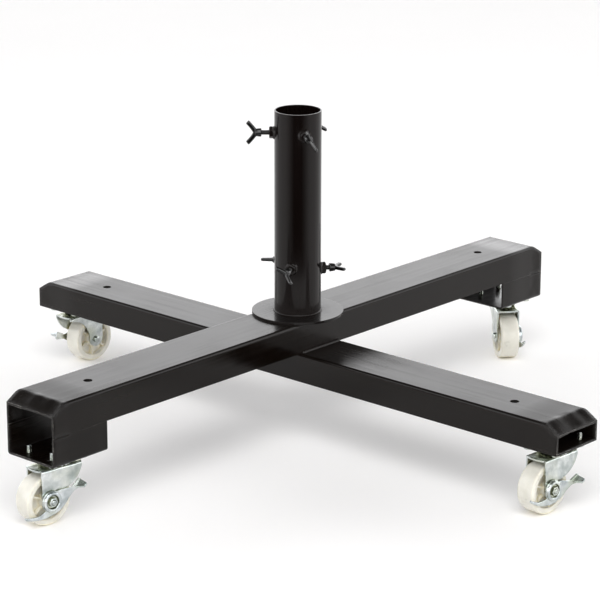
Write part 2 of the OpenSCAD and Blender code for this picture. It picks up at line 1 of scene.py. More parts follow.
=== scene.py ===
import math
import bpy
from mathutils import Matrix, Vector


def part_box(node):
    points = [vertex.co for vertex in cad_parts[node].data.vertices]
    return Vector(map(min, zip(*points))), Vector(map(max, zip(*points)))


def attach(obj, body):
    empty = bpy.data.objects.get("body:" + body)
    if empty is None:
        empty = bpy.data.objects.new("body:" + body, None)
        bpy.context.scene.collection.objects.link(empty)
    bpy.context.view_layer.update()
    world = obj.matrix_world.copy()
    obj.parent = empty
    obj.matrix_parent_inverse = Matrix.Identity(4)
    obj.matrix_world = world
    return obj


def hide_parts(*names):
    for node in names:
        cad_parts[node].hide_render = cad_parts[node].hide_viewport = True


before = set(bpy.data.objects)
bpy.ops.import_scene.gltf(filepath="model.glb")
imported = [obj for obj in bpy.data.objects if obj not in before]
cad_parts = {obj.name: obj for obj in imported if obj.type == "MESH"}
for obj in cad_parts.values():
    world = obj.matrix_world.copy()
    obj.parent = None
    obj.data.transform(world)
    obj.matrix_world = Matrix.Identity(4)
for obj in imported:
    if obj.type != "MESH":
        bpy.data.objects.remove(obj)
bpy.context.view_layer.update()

# %% [markdown]
# This scene dresses a rolling tree stand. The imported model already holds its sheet
# steel, tube, casters and bolts at their real sizes. Each of them gets its real
# finish here, and the fastenings and welds, whose small forms catch the light, are
# replaced by fuller ones.

MM = 0.001

# %% [markdown]
# Colours are written as the sRGB hex values that a colour picker shows. Blender
# computes light in linear values, so one function turns the first into the second.

# %% Colour from a hex value
def linear(hex_colour):
    values = [int(hex_colour[i:i + 2], 16) / 255 for i in (1, 3, 5)]
    return [v / 12.92 if v <= 0.04045 else ((v + 0.055) / 1.055) ** 2.4
            for v in values] + [1.0]


print("middle grey is", round(linear("#808080")[0], 3))

# %% [markdown]
# A material is a small graph of nodes. It could be made from photographs of real
# surfaces, but a graph stays sharp from near by and needs no files. One function
# adds any node, sets its values and links its inputs, so that each finish below
# reads like a recipe. Patterns are measured in millimetres: a noise of scale 1 has
# spots about a metre wide here, so its scale is one over the width of the real spots.

# %% Add one node to a graph
def add(owner, kind, settings=None, links=None):
    node = owner.node_tree.nodes.new(kind)
    for name, value in (settings or {}).items():
        if isinstance(name, int) or name in node.inputs:
            node.inputs[name].default_value = value
        else:
            setattr(node, name, value)
    for name, source in (links or {}).items():
        owner.node_tree.links.new(source, node.inputs[name])
    return node


print("a spot of 12 mm needs a scale of", round(1 / (12 * MM), 1))


# %% Start and end of each finish
def new_finish(name, **values):
    material = bpy.data.materials.new(name)
    material.use_nodes = True
    shader = material.node_tree.nodes["Principled BSDF"]
    for socket, value in values.items():
        shader.inputs[socket.replace("_", " ")].default_value = value
    return material, shader


def wire(material, shader, colour, gloss, normal):
    """Lead a recipe's three results to the shader."""
    for socket, source in (("Base Color", colour), ("Roughness", gloss), ("Normal", normal)):
        material.node_tree.links.new(source, shader.inputs[socket])


print("each finish ends in its colour, its roughness and its normal")

# %% [markdown]
# Hard edges catch the light and wear first. Bevel gives a normal that is rounded by
# a few tenths of a millimetre without adding a face, and where it differs from the
# true normal there is an edge, so their dot product finds the worn places too.

# %% Rounded edges, and where they are
def rounded_edges(m, radius, samples):
    """The rounded normal, and how like the true one it is: 1 away from edges."""
    rounded = add(m, "ShaderNodeBevel", {"samples": samples, "Radius": radius * MM})
    flat = add(m, "ShaderNodeNewGeometry")
    alike = add(m, "ShaderNodeVectorMath", {"operation": "DOT_PRODUCT"},
                {0: rounded.outputs["Normal"], 1: flat.outputs["Normal"]})
    return rounded.outputs["Normal"], alike.outputs["Value"]


print("an edge turned by 30 degrees gives", round(math.cos(math.radians(30)), 2))

# %% [markdown]
# The frame is hot rolled steel sheet, folded, welded and sprayed with black gloss
# enamel, a resin film with an index of refraction a little under 1.5. The film
# mirrors more the lower one looks, so flat tops mirror the pale studio as a mid
# grey while upright faces stay nearly black. Rolling left long faint ripples in the
# sheet, some 9 mm wide and 400 mm long, which break the mirror image into streaks.
# Spraying adds drifts some 120 mm wide. One noise, stretched along the sheet, draws
# the ripples, and a second one the drifts.

# %% What rolling and spraying leave on the sheet
RIPPLE_LENGTH, DRIFT_WIDTH = 400, 120


def rolled_and_sprayed(m, place, along, ripple_width):
    """The ripples, and ripples and drifts together, from 0 to 1."""
    stretch = [1 / (ripple_width * MM)] * 3
    stretch[along] = 1 / (RIPPLE_LENGTH * MM)
    rolled = add(m, "ShaderNodeMapping", {"Scale": stretch}, {"Vector": place}).outputs["Vector"]
    ripple = add(m, "ShaderNodeTexNoise", {"Scale": 1.0, "Detail": 4.0, "Roughness": 0.6},
                 {"Vector": rolled}).outputs["Fac"]
    drift = add(m, "ShaderNodeTexNoise", {"Scale": 1 / (DRIFT_WIDTH * MM), "Detail": 4.0},
                {"Vector": place}).outputs["Fac"]
    both = add(m, "ShaderNodeMath", {"operation": "ADD"}, {0: ripple, 1: drift}).outputs["Value"]
    uneven = add(m, "ShaderNodeMapRange", {"From Min": 0.75, "From Max": 1.25},
                 {"Value": both}).outputs["Result"]
    return ripple, uneven


print("ripples:", RIPPLE_LENGTH, "mm long, drifts:", DRIFT_WIDTH, "mm wide")

# %% [markdown]
# The ends of the channels were cut and their lips bent by hand. Three values follow
# the distance from the middle of a channel: a mask for the last few millimetres,
# where the film is rubbed, a mask for the lip, whose fold is softer and whose sheet
# is dented, and a height for the last stretch, which droops a little.

# %% Masks towards the ends of a channel
RUBBED_END, LIP, DROOP = (7, 2), (36, 30), (95, 15)


def towards_the_end(m, place, along, half_length):
    """Two masks that rise to 1 and a height that falls to 0, between the pairs above,
    which are distances from the end."""
    axes = add(m, "ShaderNodeSeparateXYZ", None, {"Vector": place})
    reach = add(m, "ShaderNodeMath", {"operation": "ABSOLUTE"},
                {0: axes.outputs[along]}).outputs["Value"]
    masks = []
    for start, full in (RUBBED_END, LIP, DROOP):
        masks.append(add(m, "ShaderNodeMapRange", {"From Min": (half_length - start) * MM,
                                                   "From Max": (half_length - full) * MM},
                         {"Value": reach}))
    at_end, on_lip, fall = masks
    fall.interpolation_type = "SMOOTHSTEP"
    fall.inputs["To Min"].default_value = 1.0
    fall.inputs["To Max"].default_value = 0.0
    return at_end.outputs["Result"], on_lip.outputs["Result"], fall.outputs["Result"]


print("the channels droop over", DROOP[0] - DROOP[1], "mm")

# %% [markdown]
# At edges the film is thin and rubbed, so a lighter grey shows through, most of all
# on the cut ends, and there in patches some 14 mm wide. In hollows the film is
# painted a lighter brown, a painted reflection of the brown seen inside the channels,
# and it is made duller there. Ambient occlusion, which tells how much open space a
# point sees within 60 mm, finds the hollows.

# %% Colour and gloss of the enamel
PATCH_WIDTH, HOLLOW_SIZE, HOLLOW_ROUGHNESS = 14, 60, 0.55
THIN_FILM, PAINTED_BROWN_REFLECTION, RUBBED_EDGE, RUBBED_STEEL = "#090402", "#140b06", "#5d5a57", "#b9b6b0"


def enamel_colour(m, place, uneven, alike, at_end, thick_film, rough):
    patch = add(m, "ShaderNodeTexNoise", {"Scale": 1 / (PATCH_WIDTH * MM), "Detail": 2.0},
                {"Vector": place}).outputs["Fac"]
    patchy = add(m, "ShaderNodeMapRange", {"From Min": 0.46, "From Max": 0.64, "To Min": 0.2},
                 {"Value": patch}).outputs["Result"]
    rub = add(m, "ShaderNodeMapRange", {"To Min": 0.35},
              {"Value": at_end, "To Max": patchy}).outputs["Result"]
    rubbed = add(m, "ShaderNodeMapRange", {"From Min": 0.995, "From Max": 0.9},
                 {"Value": alike, "To Max": rub}).outputs["Result"]
    bare = add(m, "ShaderNodeMix", {"data_type": "RGBA", 6: linear(RUBBED_EDGE),
                                    7: linear(RUBBED_STEEL)}, {0: at_end}).outputs[2]
    open_sky = add(m, "ShaderNodeAmbientOcclusion", {"samples": 6, "Distance": HOLLOW_SIZE * MM})
    hollow = add(m, "ShaderNodeMapRange", {"From Min": 0.9, "From Max": 0.4, "To Max": 0.8},
                 {"Value": open_sky.outputs["AO"]}).outputs["Result"]
    film = add(m, "ShaderNodeMix", {"data_type": "RGBA", 6: linear(THIN_FILM),
                                    7: linear(thick_film)}, {0: uneven}).outputs[2]
    # Painted reflection: hollows are tinted a lighter brown than the film.
    film = add(m, "ShaderNodeMix", {"data_type": "RGBA", 7: linear(PAINTED_BROWN_REFLECTION)},
               {0: hollow, 6: film}).outputs[2]
    colour = add(m, "ShaderNodeMix", {"data_type": "RGBA"},
                 {0: rubbed, 6: film, 7: bare}).outputs[2]
    gloss = add(m, "ShaderNodeMapRange", {"To Min": rough / 2, "To Max": rough},
                {"Value": uneven}).outputs["Result"]
    gloss = add(m, "ShaderNodeMix", {3: HOLLOW_ROUGHNESS}, {0: hollow, 2: gloss}).outputs[0]
    return colour, gloss


print("the dusty film's red, green and blue:", [round(v, 4) for v in linear(PAINTED_BROWN_REFLECTION)[:3]])

# %% [markdown]
# The relief is too shallow for faces, so it is done with bumps, from coarse to fine.
# The channels' ends droop by a few millimetres, which tilts their mirror images. The
# lips are dented every 24 mm or so. The rolling ripples are a few tenths of a
# millimetre deep, and the sprayed film has an orange peel of 2.5 mm.

# %% Relief of the enamel
DROOP_DEPTH, DENT_DEPTH, RIPPLE_DEPTH, PEEL_DEPTH = 4.5, 1.5, 0.3, 0.04
DENT_WIDTH, PEEL_WIDTH, LIP_FOLD = 24, 2.5, 9


def enamel_relief(m, place, rounded, ripple, on_lip, fall, wavy):
    dent = add(m, "ShaderNodeTexNoise", {"Scale": 1 / (DENT_WIDTH * MM), "Detail": 0.0},
               {"Vector": place}).outputs["Fac"]
    peel = add(m, "ShaderNodeTexNoise", {"Scale": 1 / (PEEL_WIDTH * MM), "Detail": 2.0},
               {"Vector": place}).outputs["Fac"]
    folded = add(m, "ShaderNodeBevel", {"samples": 6, "Radius": LIP_FOLD * MM}).outputs["Normal"]
    normal = add(m, "ShaderNodeMix", {"data_type": "VECTOR"},
                 {0: on_lip, 4: rounded, 5: folded}).outputs[1]
    drooped = add(m, "ShaderNodeBump", {"Strength": 1.0, "Distance": DROOP_DEPTH * MM},
                  {"Height": fall, "Normal": normal}).outputs["Normal"]
    beaten = add(m, "ShaderNodeBump", {"Distance": DENT_DEPTH * MM},
                 {"Height": dent, "Normal": drooped, "Strength": on_lip}).outputs["Normal"]
    waves = add(m, "ShaderNodeBump", {"Strength": wavy, "Distance": RIPPLE_DEPTH * MM},
                {"Height": ripple, "Normal": beaten}).outputs["Normal"]
    return add(m, "ShaderNodeBump", {"Strength": 0.1, "Distance": PEEL_DEPTH * MM},
               {"Height": peel, "Normal": waves}).outputs["Normal"]


print("from coarse to fine:", DROOP_DEPTH, DENT_DEPTH, RIPPLE_DEPTH, PEEL_DEPTH, "mm")

# %% [markdown]
# The four enamels differ in the way that their steel was rolled and in how smooth it
# is: the sheet of the channels is rippled, the drawn tube and the turned disc are
# smoother and shine more. The tube and the disc lie far from any channel's end, so
# they take the upper channel's length and none of its masks reaches them.

# %% Black gloss enamel on four kinds of steel
LOWER_HALF, UPPER_HALF = 570, 594
X, Y, Z = 0, 1, 2


def enamel(name, along, ripple_width, half_length, wavy, rough, thick_film):
    """along is the axis of the rolling ripples; the sizes are in millimetres."""
    m, shader = new_finish(name, IOR=1.42)
    place = add(m, "ShaderNodeTexCoord").outputs["Object"]
    ripple, uneven = rolled_and_sprayed(m, place, along, ripple_width)
    at_end, on_lip, fall = towards_the_end(m, place, along, half_length)
    rounded, alike = rounded_edges(m, 0.8, 4)
    colour, gloss = enamel_colour(m, place, uneven, alike, at_end, thick_film, rough)
    skin = enamel_relief(m, place, rounded, ripple, on_lip, fall, wavy)
    wire(m, shader, colour, gloss, skin)
    return m


enamel_x = enamel("black_gloss_enamel_lower_channel", along=X, ripple_width=9,
                  half_length=LOWER_HALF, wavy=0.45, rough=0.28, thick_film="#0f0904")
enamel_y = enamel("black_gloss_enamel_upper_channel", along=Y, ripple_width=9,
                  half_length=UPPER_HALF, wavy=0.45, rough=0.28, thick_film="#0f0904")
enamel_z = enamel("black_gloss_enamel_tube", along=Z, ripple_width=9,
                  half_length=UPPER_HALF, wavy=0.3, rough=0.14, thick_film="#0f0807")
enamel_disc = enamel("black_gloss_enamel_disc", along=Y, ripple_width=16,
                     half_length=UPPER_HALF, wavy=0.15, rough=0.14, thick_film="#0b0706")
print("enamels:", enamel_x.name, enamel_y.name, enamel_z.name, enamel_disc.name)

# %% [markdown]
# Caster plates, forks, brake levers and bolts are pressed steel with bright zinc
# plating. Zinc is a light grey metal. Its thin chromate film shifts the tint over
# some 40 mm between cool grey and a faint olive, and the barrel in which the pieces
# were plated leaves fine scuffs of a millimetre or two. In hollows, which ambient
# occlusion finds, a darker olive is painted in as shade.

# %% Tint of the zinc, its film, and painted shade in its hollows
PAINTED_OLIVE_SHADE, ZINC_HOLLOW = "#8d9070", 15


def zinc_colour(m, place, dark, light, film):
    cloud = add(m, "ShaderNodeTexNoise", {"Scale": 1 / (20 * MM), "Detail": 3.0},
                {"Vector": place}).outputs["Fac"]
    cloud = add(m, "ShaderNodeMapRange", {"From Min": 0.3, "From Max": 0.7},
                {"Value": cloud}).outputs["Result"]
    drift = add(m, "ShaderNodeTexNoise", {"Scale": 1 / (40 * MM), "Detail": 1.0},
                {"Vector": place}).outputs["Fac"]
    drift = add(m, "ShaderNodeMapRange", {"From Min": 0.5, "From Max": 0.75, "To Max": 0.8},
                {"Value": drift}).outputs["Result"]
    metal = add(m, "ShaderNodeMix", {"data_type": "RGBA", 6: linear(dark), 7: linear(light)},
                {0: cloud}).outputs[2]
    metal = add(m, "ShaderNodeMix", {"data_type": "RGBA", 7: linear(film)},
                {0: drift, 6: metal}).outputs[2]
    open_sky = add(m, "ShaderNodeAmbientOcclusion", {"samples": 6, "Distance": ZINC_HOLLOW * MM})
    hollow = add(m, "ShaderNodeMapRange", {"From Min": 0.8, "From Max": 0.3, "To Max": 0.8},
                 {"Value": open_sky.outputs["AO"]}).outputs["Result"]
    # Painted shade: hollows are darkened towards olive.
    return add(m, "ShaderNodeMix", {"data_type": "RGBA", 7: linear(PAINTED_OLIVE_SHADE)},
               {0: hollow, 6: metal}).outputs[2]


print("olive film:", [round(v, 3) for v in linear(PAINTED_OLIVE_SHADE)[:3]])

# %% [markdown]
# The press leaves the sheet slightly wavy, every 22 mm or so, which breaks its
# mirror images into patches. The brake lever is stamped more deeply: its edges are
# rounder and its waves shorter. The bearing's races and balls are ground steel, a
# darker grey without zinc, made by the same recipe with other colours.

# %% Bright zinc plating
def zinc_plating(name, dark, light, film, rough, edge, wave_size):
    """edge is the radius of the rounded edges, wave_size that of the waves, in mm."""
    m, shader = new_finish(name, Metallic=1.0)
    place = add(m, "ShaderNodeTexCoord").outputs["Object"]
    colour = zinc_colour(m, place, dark, light, film)
    scuff = add(m, "ShaderNodeTexNoise", {"Scale": 1 / (1.4 * MM), "Detail": 2.0},
                {"Vector": place}).outputs["Fac"]
    gloss = add(m, "ShaderNodeMapRange", {"To Min": rough - 0.06, "To Max": rough + 0.16},
                {"Value": scuff}).outputs["Result"]
    rounded = add(m, "ShaderNodeBevel", {"samples": 4, "Radius": edge * MM}).outputs["Normal"]
    sheet = add(m, "ShaderNodeTexNoise", {"Scale": 1 / (wave_size * MM), "Detail": 1.0},
                {"Vector": place}).outputs["Fac"]
    waves = add(m, "ShaderNodeBump", {"Strength": 0.8, "Distance": 0.15 * wave_size * MM},
                {"Height": sheet, "Normal": rounded}).outputs["Normal"]
    dents = add(m, "ShaderNodeBump", {"Strength": 0.25, "Distance": 0.08 * MM},
                {"Height": scuff, "Normal": waves}).outputs["Normal"]
    wire(m, shader, colour, gloss, dents)
    return m


zinc = zinc_plating("bright_zinc_plating", dark="#a2aaa9", light="#eef1f0", film="#adb29c",
                    rough=0.15, edge=0.5, wave_size=22)
lever_zinc = zinc_plating("stamped_zinc_plating", dark="#a2aaac", light="#f0f4f6",
                          film="#b4bbae", rough=0.12, edge=2.4, wave_size=9)
bearing_steel = zinc_plating("polished_bearing_steel", dark="#8d9094", light="#c4c7ca",
                             film="#a5a298", rough=0.14, edge=0.5, wave_size=22)
print("metal finishes:", zinc.name, lever_zinc.name, bearing_steel.name)

# %% [markdown]
# The wheels are moulded polyamide, a hard cream plastic. Light goes a few
# millimetres into it and comes out elsewhere, which softens its shadows, so the
# shader's subsurface part does most of the work. Hollow places, found within 9 mm,
# are painted a paler straw colour: painted light that lifts their shade, standing in
# for light glowing through the plastic. The shoulders of the tread hold a trace of
# ochre dust.

# %% Colour of the polyamide, with painted light in its hollows
SHADED_BODY, LIT_BODY, OCHRE_DUST, PAINTED_STRAW_LIGHT = "#c5c3ba", "#d7d5cd", "#d6c9a0", "#e8e0c2"


def polyamide_colour(m, cloud, alike):
    body = add(m, "ShaderNodeMix", {"data_type": "RGBA", 6: linear(SHADED_BODY),
                                    7: linear(LIT_BODY)}, {0: cloud}).outputs[2]
    shoulder = add(m, "ShaderNodeMapRange", {"From Min": 0.99, "From Max": 0.93, "To Max": 0.35},
                   {"Value": alike}).outputs["Result"]
    body = add(m, "ShaderNodeMix", {"data_type": "RGBA", 7: linear(OCHRE_DUST)},
               {0: shoulder, 6: body}).outputs[2]
    open_sky = add(m, "ShaderNodeAmbientOcclusion", {"samples": 6, "Distance": 9 * MM})
    hollow = add(m, "ShaderNodeMapRange", {"From Min": 0.85, "From Max": 0.25, "To Max": 0.75},
                 {"Value": open_sky.outputs["AO"]}).outputs["Result"]
    # Painted light: hollows are lifted to a paler straw colour than the body.
    return add(m, "ShaderNodeMix", {"data_type": "RGBA", 7: linear(PAINTED_STRAW_LIGHT)},
               {0: hollow, 6: body}).outputs[2]


print("straw:", [round(v, 3) for v in linear(PAINTED_STRAW_LIGHT)[:3]])

# %% [markdown]
# The floor polishes the tread unevenly, in patches of 26 mm, and a moulding grain of
# about a millimetre keeps the gloss soft. Red light travels furthest in the plastic
# and blue light least, which is why its shadows are warm.

# %% Moulded cream polyamide
def polyamide(name):
    m, shader = new_finish(name, IOR=1.53, Subsurface_Weight=0.7, Subsurface_Scale=6 * MM,
                           Subsurface_Radius=(1.0, 0.96, 0.87))
    place = add(m, "ShaderNodeTexCoord").outputs["Object"]
    cloud = add(m, "ShaderNodeTexNoise", {"Scale": 1 / (26 * MM), "Detail": 4.0},
                {"Vector": place}).outputs["Fac"]
    cloud = add(m, "ShaderNodeMapRange", {"From Min": 0.3, "From Max": 0.7},
                {"Value": cloud}).outputs["Result"]
    grain = add(m, "ShaderNodeTexNoise", {"Scale": 1 / (1.1 * MM), "Detail": 2.0},
                {"Vector": place}).outputs["Fac"]
    rounded, alike = rounded_edges(m, 3.5, 6)
    gloss = add(m, "ShaderNodeMapRange", {"To Min": 0.26, "To Max": 0.44},
                {"Value": cloud}).outputs["Result"]
    skin = add(m, "ShaderNodeBump", {"Strength": 0.15, "Distance": 0.06 * MM},
               {"Height": grain, "Normal": rounded}).outputs["Normal"]
    wire(m, shader, polyamide_colour(m, cloud, alike), gloss, skin)
    return m


cream_nylon = polyamide("moulded_cream_polyamide")
print("plastic finish:", cream_nylon.name)

# %% [markdown]
# Wing bolts are cast in one piece, blackened and lightly oiled. The skin keeps the
# grain of the mould, somewhat under a millimetre, and the rims that hands and nuts
# rub are worn to a dark grey.

# %% Blackened cast steel
def blackened_casting(name):
    m, shader = new_finish(name, IOR=1.65)
    place = add(m, "ShaderNodeTexCoord").outputs["Object"]
    grain = add(m, "ShaderNodeTexNoise", {"Scale": 1 / (0.8 * MM), "Detail": 3.0},
                {"Vector": place}).outputs["Fac"]
    cloud = add(m, "ShaderNodeTexNoise", {"Scale": 1 / (8 * MM), "Detail": 2.0},
                {"Vector": place}).outputs["Fac"]
    cloud = add(m, "ShaderNodeMapRange", {"From Min": 0.3, "From Max": 0.7},
                {"Value": cloud}).outputs["Result"]
    rounded, alike = rounded_edges(m, 0.5, 4)
    rubbed = add(m, "ShaderNodeMapRange", {"From Min": 0.99, "From Max": 0.85, "To Max": 0.6},
                 {"Value": alike}).outputs["Result"]
    oxide = add(m, "ShaderNodeMix", {"data_type": "RGBA", 6: linear("#040404"),
                                     7: linear("#0e0d0c")}, {0: cloud}).outputs[2]
    colour = add(m, "ShaderNodeMix", {"data_type": "RGBA", 7: linear("#55524e")},
                 {0: rubbed, 6: oxide}).outputs[2]
    gloss = add(m, "ShaderNodeMapRange", {"To Min": 0.06, "To Max": 0.18},
                {"Value": cloud}).outputs["Result"]
    skin = add(m, "ShaderNodeBump", {"Strength": 0.3, "Distance": 0.08 * MM},
               {"Height": grain, "Normal": rounded}).outputs["Normal"]
    wire(m, shader, colour, gloss, skin)
    return m


black_casting = blackened_casting("blackened_cast_steel")
print("bolt finish:", black_casting.name)

# %% [markdown]
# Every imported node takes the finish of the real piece. The names of the nodes say
# what they are, so a short table of endings is enough.

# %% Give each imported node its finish
FINISH_BY_ENDING = {
    "lower_beam": enamel_x, "floor_plate": enamel_x, "upper_beam": enamel_y,
    "spacer": enamel_y, "frame_welds": enamel_y, "base_disc": enamel_disc,
    "pole_tube": enamel_z, "tube_foot_weld": enamel_z, "weld_nuts": enamel_z,
    "bolt_a": black_casting, "bolt_b": black_casting, "bolt_c": black_casting,
    "_plate": zinc, "mount_bolts": zinc, "fork": zinc, "axle_bolt": zinc, "axle_nut": zinc,
    "brake_lever": lever_zinc, "kingpin": bearing_steel, "balls": bearing_steel,
    "sleeve": bearing_steel, "wheel": cream_nylon,
}


def finish_for(node):
    fitting = [e for e in FINISH_BY_ENDING if node.endswith(e)]
    return FINISH_BY_ENDING[max(fitting, key=len)]


for node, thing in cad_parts.items():
    thing.data.materials.clear()
    thing.data.materials.append(finish_for(node))
print("finished nodes:", len(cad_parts))

# %% [markdown]
# The fastenings are made again as rings of points round an axis. Modifiers could cut
# and sweep them too, but a ring needs only a rule for the radius at each height and
# angle, and it leaves clean faces.

# %% A skin of rings, closed or open at its ends
def skin_piece(name, rings, closed_loop, caps, matrix=None):
    """rings are lists of points of one length; caps closes both ends with a face."""
    matrix = matrix or Matrix.Identity(4)
    points = [matrix @ Vector(p) for ring in rings for p in ring]
    n = len(rings[0])
    faces = []
    for i in range(len(rings) - 1 if not closed_loop else len(rings)):
        a, b = i * n, ((i + 1) % len(rings)) * n
        faces += [(a + j, a + (j + 1) % n, b + (j + 1) % n, b + j) for j in range(n)]
    if caps:
        faces.append(tuple(reversed(range(n))))
        faces.append(tuple(range((len(rings) - 1) * n, len(rings) * n)))
    mesh = bpy.data.meshes.new(name)
    mesh.from_pydata(points, [], faces)
    mesh.validate()
    mesh.shade_smooth()
    thing = bpy.data.objects.new(name, mesh)
    bpy.context.scene.collection.objects.link(thing)
    return thing


def circle_ring(radius, height, steps=48):
    return [(radius * math.cos(2 * math.pi * i / steps),
             radius * math.sin(2 * math.pi * i / steps), height) for i in range(steps)]


print("a ring has", len(circle_ring(1, 0)), "points")


# %% Join pieces, and keep their edges sharp
def join(name, things):
    """One object from several, with the first one's name set anew."""
    with bpy.context.temp_override(active_object=things[0], object=things[0],
                                   selected_objects=things, selected_editable_objects=things):
        bpy.ops.object.join()
    things[0].name = name
    things[0].data.name = name
    return things[0]


def keep_edges(thing, degrees=32):
    """Smooth shading, but with the edges sharper than this angle kept."""
    thing.data.set_sharp_from_angle(angle=math.radians(degrees))


print("edges of more than 32 degrees stay sharp")

# %% [markdown]
# A real nut is a hexagonal bar whose corners were turned off by a cone, which
# leaves the curved edges that one sees on each flat. A boolean cut would give the
# same form with long thin faces. The same rings without a bore make a bolt's head.

# %% Hexagon nuts and heads
LEAD_IN = 0.6 * MM
TURNED_SHARE, TURNED_SLOPE = 0.96, math.tan(math.radians(30))


def hexagon_rings(flats, thickness, bore_radius=None, steps=48):
    """Axis along +Z from 0 to thickness, a corner on +X, sizes in metres."""
    face = flats / 2 * TURNED_SHARE
    low, high = [], []
    for i in range(steps):
        angle = 2 * math.pi * i / steps
        r = flats / 2 / math.cos(angle % (math.pi / 3) - math.pi / 6)
        fall = (r - face) * TURNED_SLOPE
        low.append((r * math.cos(angle), r * math.sin(angle), fall))
        high.append((r * math.cos(angle), r * math.sin(angle), thickness - fall))
    rings = [circle_ring(face, 0, steps), low, high, circle_ring(face, thickness, steps)]
    if bore_radius:
        wide = bore_radius + LEAD_IN
        rings = ([circle_ring(bore_radius, LEAD_IN, steps), circle_ring(wide, 0, steps)] + rings
                 + [circle_ring(wide, thickness, steps),
                    circle_ring(bore_radius, thickness - LEAD_IN, steps)])
    return rings


def hexagon(name, flats, thickness, bore_radius=None, matrix=None):
    bored = bool(bore_radius)
    thing = skin_piece(name, hexagon_rings(flats, thickness, bore_radius), bored, not bored,
                       matrix)
    keep_edges(thing)
    return thing


print("a bored nut has", len(hexagon_rings(0.013, 0.005, 0.004)), "rings")

# %% [markdown]
# A metric thread is a ridge of 60 degrees that climbs one pitch per turn: 1.25 mm
# for M8. A tooth could be swept along a helix, but its start and end would need
# mending by hand. Here the rod's radius at a height and an angle follows from where
# that point is in the pitch, and the end is turned to a short cone.

# %% Threaded rod
M8_PITCH = 1.25 * MM
THREAD_DEPTH = 0.54 * M8_PITCH
ROWS_PER_PITCH = 6


def threaded_rod(name, length, matrix=None, radius=4 * MM, steps=24):
    """Axis along +Z from 0 to length, with a cone at z = length."""
    rows = round(length / M8_PITCH * ROWS_PER_PITCH)
    rings = []
    for row in range(rows + 1):
        z = length * row / rows
        ring = []
        for i in range(steps):
            phase = (z / M8_PITCH - i / steps) % 1.0
            ridge = min(1.0, 1.25 * (1.0 - abs(2 * phase - 1)))
            r = min(radius - THREAD_DEPTH * (1 - ridge), radius - 1.1 * MM + (length - z))
            angle = 2 * math.pi * i / steps
            ring.append((r * math.cos(angle), r * math.sin(angle), z))
        rings.append(ring)
    return skin_piece(name, rings, False, True, matrix)


print("the thread is", round(THREAD_DEPTH / MM, 3), "mm deep")

# %% [markdown]
# Six wing bolts press on the pole, three near the rim and three near the foot. Each
# stands on the face of its nut, turned about the tube and rolled about its own axis
# as it was last left by a hand.

# %% Places of the clamp bolts
TUBE_R = 38.1
NUT_FLATS, NUT_T, NUT_LIFT = 17.0, 6.5, 1.7
NUT_FACE_R = TUBE_R + NUT_LIFT + NUT_T
# name: turn about the tube, height, bare thread under the hub, roll of the ears
CLAMP_BOLTS = {
    "top_a": (106, 298.5, 9.3, 42), "top_b": (222, 297.5, 12.5, 90),
    "top_c": (328, 300.0, 11.6, -62), "low_a": (54, 68.5, 6.2, 0),
    "low_b": (170, 71.0, 6.2, 0), "low_c": (296, 79.5, 12.5, -45),
}


def turned(degrees, axis):
    return Matrix.Rotation(math.radians(degrees), 4, axis)


def moved(x, y, z):
    return Matrix.Translation((x * MM, y * MM, z * MM))


def on_bolt(name, out, roll=0):
    """Frame with +Z pointing away from the tube, 'out' mm from its axis."""
    direction, height = CLAMP_BOLTS[name][:2]
    return moved(0, 0, height) @ turned(direction, "Z") @ moved(out, 0, 0) \
        @ turned(roll, "X") @ turned(90, "Y")


print("nut faces stand", NUT_FACE_R, "mm from the tube's axis")

# %% [markdown]
# Each ear leaves the hub's shoulder, spreads outwards and ends square for thumb and
# finger. It is a loft: rounded rectangles strung between two curves, the outer and
# the inner edge of the ear, thinner towards the tip.

# %% Ear of a wing bolt
# points of each edge: height above the hub's foot, distance from the bolt's axis
OUTER_EDGE = ((5.5, 2.0), (9.0, 8.0), (20.4, 20.4))
INNER_EDGE = ((13.0, -1.0), (15.5, 5.0), (24.9, 14.6))
EAR_HALF_T, TIP_THINNER, SQUARENESS = 3.4, 0.95, 0.55
TIP_CHAMFER = (0.78, 0.84)


def curve_point(edge, t):
    a, b, c = edge
    return tuple((1 - t) ** 2 * a[i] + 2 * t * (1 - t) * b[i] + t * t * c[i] for i in range(2))


def ear(name, side, steps=20, stations=14):
    rings = []
    for k in range(stations + 1):
        t = k / stations
        outer, inner = curve_point(OUTER_EDGE, t), curve_point(INNER_EDGE, t)
        flat, shrink = TIP_CHAMFER if k == stations else (1.0, 1.0)
        thick = (EAR_HALF_T - TIP_THINNER * math.sqrt(t)) * flat
        middle = [(outer[i] + inner[i]) / 2 for i in range(2)]
        half = [(outer[i] - inner[i]) / 2 * shrink for i in range(2)]
        ring = []
        for j in range(steps):
            angle = 2 * math.pi * j / steps
            c, s = math.cos(angle), math.sin(angle)
            across = math.copysign(abs(c) ** SQUARENESS, c)
            beside = math.copysign(abs(s) ** SQUARENESS, s)
            ring.append((thick * beside * MM, side * (middle[1] + half[1] * across) * MM,
                         (middle[0] + half[0] * across) * MM))
        rings.append(ring)
    return skin_piece(name, rings, False, True)


print("wing span:", 2 * OUTER_EDGE[2][1], "mm")

# %% [markdown]
# The ears grow out of the hub in soft fillets. Subdivision could model those with
# much care. A voxel remesh, which fills the joined forms with small cubes and skins
# them anew, gives them at once, and a little smoothing takes the steps away.

# %% One casting, fused and smoothed
# radius and height of the hub's outline
HUB = [(6.2, 0.0), (6.9, 0.5), (7.0, 1.2), (6.5, 6.0), (6.0, 9.0), (5.4, 9.8), (4.4, 10.0)]
VOXEL, SMOOTHING_ROUNDS = 0.5 * MM, 5


